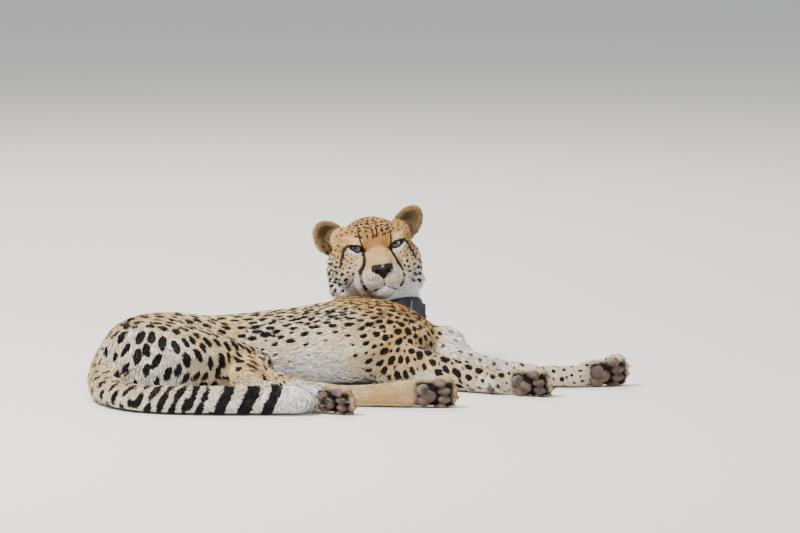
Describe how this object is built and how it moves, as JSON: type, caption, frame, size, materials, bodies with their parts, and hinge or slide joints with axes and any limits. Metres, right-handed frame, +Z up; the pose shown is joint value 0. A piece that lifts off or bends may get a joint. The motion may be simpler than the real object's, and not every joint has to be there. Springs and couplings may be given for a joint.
{
  "type": "reclining cheetah figure",
  "caption": "Life-size still cheetah lying on its side with legs forward, tail curled round in front and head raised, wearing a tracking collar.",
  "frame": {"origin": "on the floor under the middle of the body's bounding box", "axes": "+X towards the stretched forepaws, +Y towards the back of the animal, +Z up"},
  "size_m": [0.9642, 0.717, 0.293],
  "materials": {
    "coat": "short dense spotted fur",
    "ear": "thin short fur",
    "eye": "wet, glossy",
    "collar_strap": "matt webbing faced leather",
    "collar_case": "matt moulded"
  },
  "bodies": {
    "root": {"rump": "coat", "loin": "coat", "chest": "coat", "neck": "coat", "head": "coat", "thigh_right": "coat", "shank_right": "coat", "hind_foot_right": "coat", "hind_paw_right": "coat", "thigh_left": "coat", "shank_left": "coat", "hind_foot_left": "coat", "hind_paw_left": "coat", "forearm_right": "coat", "forepaw_right": "coat", "upper_arm_left": "coat", "forearm_left": "coat", "forepaw_left": "coat", "tail_base": "coat", "tail_middle": "coat", "tail_tip": "coat", "ear_right": "ear", "ear_left": "ear", "eye_right": "eye", "eye_left": "eye", "collar_strap": "collar_strap", "collar_case": "collar_case"}
  },
  "joints": []
}
